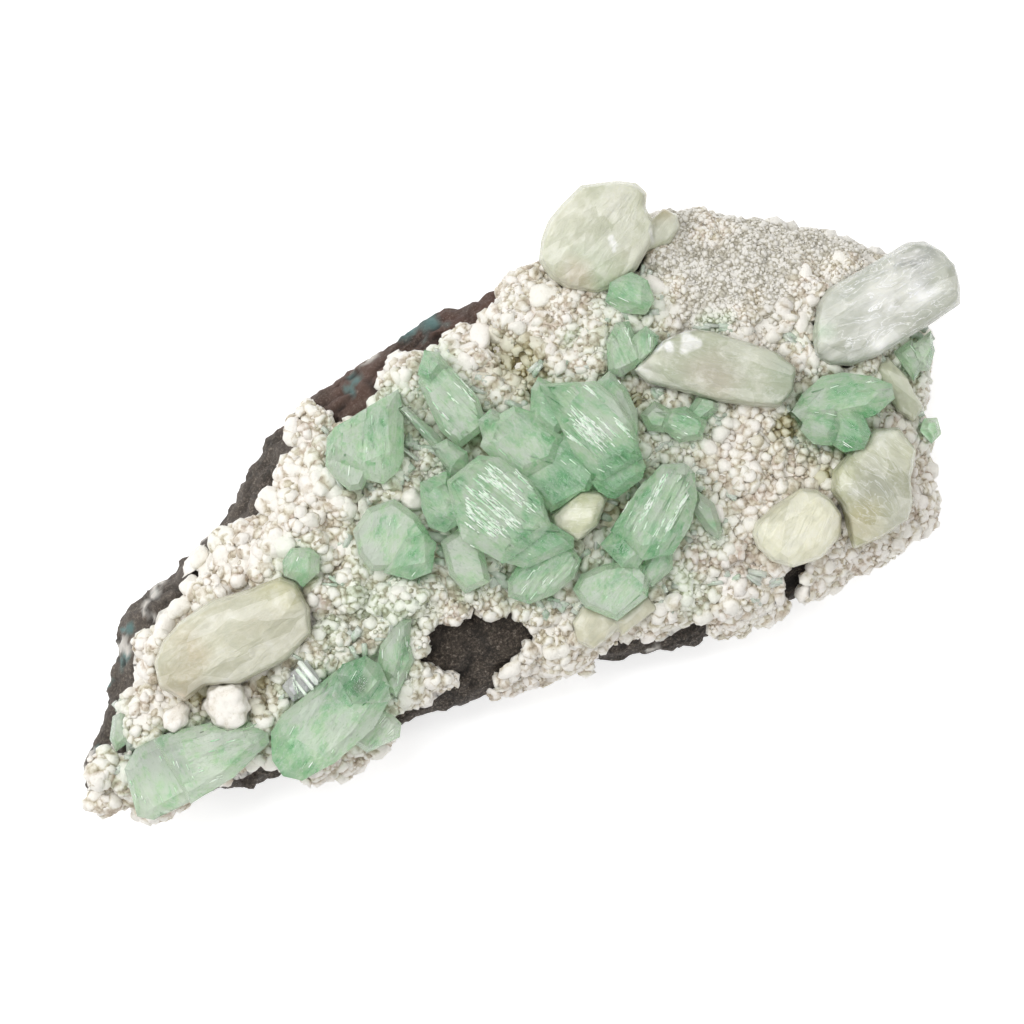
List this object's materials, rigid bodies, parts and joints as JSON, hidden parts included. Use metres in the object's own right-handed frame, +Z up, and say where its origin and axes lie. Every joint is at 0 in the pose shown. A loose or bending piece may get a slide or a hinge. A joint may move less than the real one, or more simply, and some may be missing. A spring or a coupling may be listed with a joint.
{
  "type": "mineral specimen",
  "caption": "Slab of basalt under a crust of small pale heulandite balls, with glassy green apophyllite prisms and cream stilbite sheaves grown on it.",
  "frame": {"origin": "middle of the specimen's box, on the face it rests on", "axes": "+X along its length towards the broad end, +Z up, away from the face it rests on, through the crystals"},
  "size_m": [0.199, 0.0928, 0.0434],
  "materials": {
    "basalt": "rough",
    "heulandite": "satin",
    "apophyllite": "gloss",
    "stilbite": "satin"
  },
  "bodies": {
    "root": {"basalt_matrix": "basalt", "heulandite_crust": "heulandite", "apophyllite_center": "apophyllite", "apophyllite_fan": "apophyllite", "apophyllite_plate": "apophyllite", "apophyllite_mid_left": "apophyllite", "apophyllite_bud": "apophyllite", "apophyllite_corner": "apophyllite", "apophyllite_front_left": "apophyllite", "apophyllite_front": "apophyllite", "apophyllite_clear": "apophyllite", "apophyllite_twin": "apophyllite", "apophyllite_top": "apophyllite", "apophyllite_ledge": "apophyllite", "apophyllite_right": "apophyllite", "apophyllite_edge": "apophyllite", "apophyllite_edge_bud": "apophyllite", "stilbite_left": "stilbite", "stilbite_left_tail": "stilbite", "stilbite_left_lobe": "stilbite", "stilbite_top": "stilbite", "stilbite_right": "stilbite", "stilbite_middle": "stilbite", "stilbite_disc": "stilbite", "stilbite_lower_right": "stilbite", "stilbite_slab": "stilbite", "stilbite_block": "stilbite", "stilbite_low": "stilbite"}
  },
  "joints": []
}
